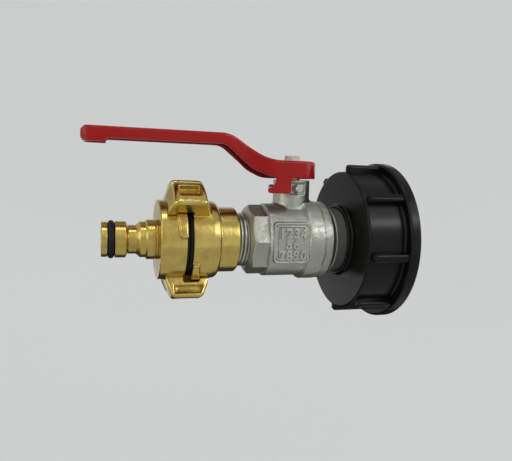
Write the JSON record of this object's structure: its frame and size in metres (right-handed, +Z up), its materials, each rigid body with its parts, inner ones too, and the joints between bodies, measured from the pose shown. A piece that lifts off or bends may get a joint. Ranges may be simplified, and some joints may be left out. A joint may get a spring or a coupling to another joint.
{
  "type": "tank outlet tap adapter",
  "caption": "Lever ball valve on a ribbed cap nut for a tank outlet, with a claw coupling and a quick-connect plug.",
  "frame": {"origin": "centre of the cap nut's open mouth, in the plane of its rim", "axes": "+X along the water way, out of the nut's mouth towards the tank; +Z up along the valve's stem; -Y towards the side with the raised frame and the lever's stop tab"},
  "size_m": [0.1447, 0.076, 0.0865],
  "materials": {
    "black_plastic": "moulded, lightly textured, black",
    "rubber": "smooth black rubber",
    "nickel_plate": "forged brass with a satin nickel plate",
    "chromed_brass": "polished hard chrome",
    "ptfe": "white, waxy",
    "stem_brass": "turned",
    "red_coat": "glossy dark red plastic dip on pressed steel",
    "zinc_steel": "zinc plated",
    "coupling_brass": "forged and turned brass, polished"
  },
  "bodies": {
    "valve": {"valve_body": "nickel_plate", "end_cap": "nickel_plate", "seat_hose_side": "ptfe", "seat_tank_side": "ptfe", "packing_ring": "ptfe", "gland_nut": "stem_brass", "stop_pin_front": "zinc_steel", "stop_pin_rear": "zinc_steel", "tank_insert": "black_plastic", "tank_gasket": "rubber", "insert_washer": "rubber", "collar_gasket": "rubber", "claw_half_threaded": "coupling_brass", "claw_seal_threaded": "rubber"},
    "lever_set": {"lever": "red_coat", "lever_screw": "zinc_steel", "stem": "stem_brass", "ball": "chromed_brass", "thrust_washer": "ptfe"},
    "cap_nut": {"union_nut": "black_plastic"},
    "plug_side": {"claw_half_plug": "coupling_brass", "claw_seal_plug": "rubber", "plug_nipple": "coupling_brass", "plug_o_ring": "rubber"}
  },
  "joints": [
    {"name": "lever_turn", "type": "hinge", "parent": "valve", "child": "lever_set", "pos_m": [-0.04845, 0, 0.0291], "axis": [0, 0, -1], "range_deg": [0, 90]},
    {"name": "cap_nut_spin", "type": "hinge", "parent": "valve", "child": "cap_nut", "pos_m": [-0.021, 0, 0], "axis": [1, 0, 0], "continuous": true},
    {"name": "coupling_twist", "type": "hinge", "parent": "valve", "child": "plug_side", "pos_m": [-0.0994, 0, 0], "axis": [-1, 0, 0], "range_deg": [0, 100]}
  ]
}
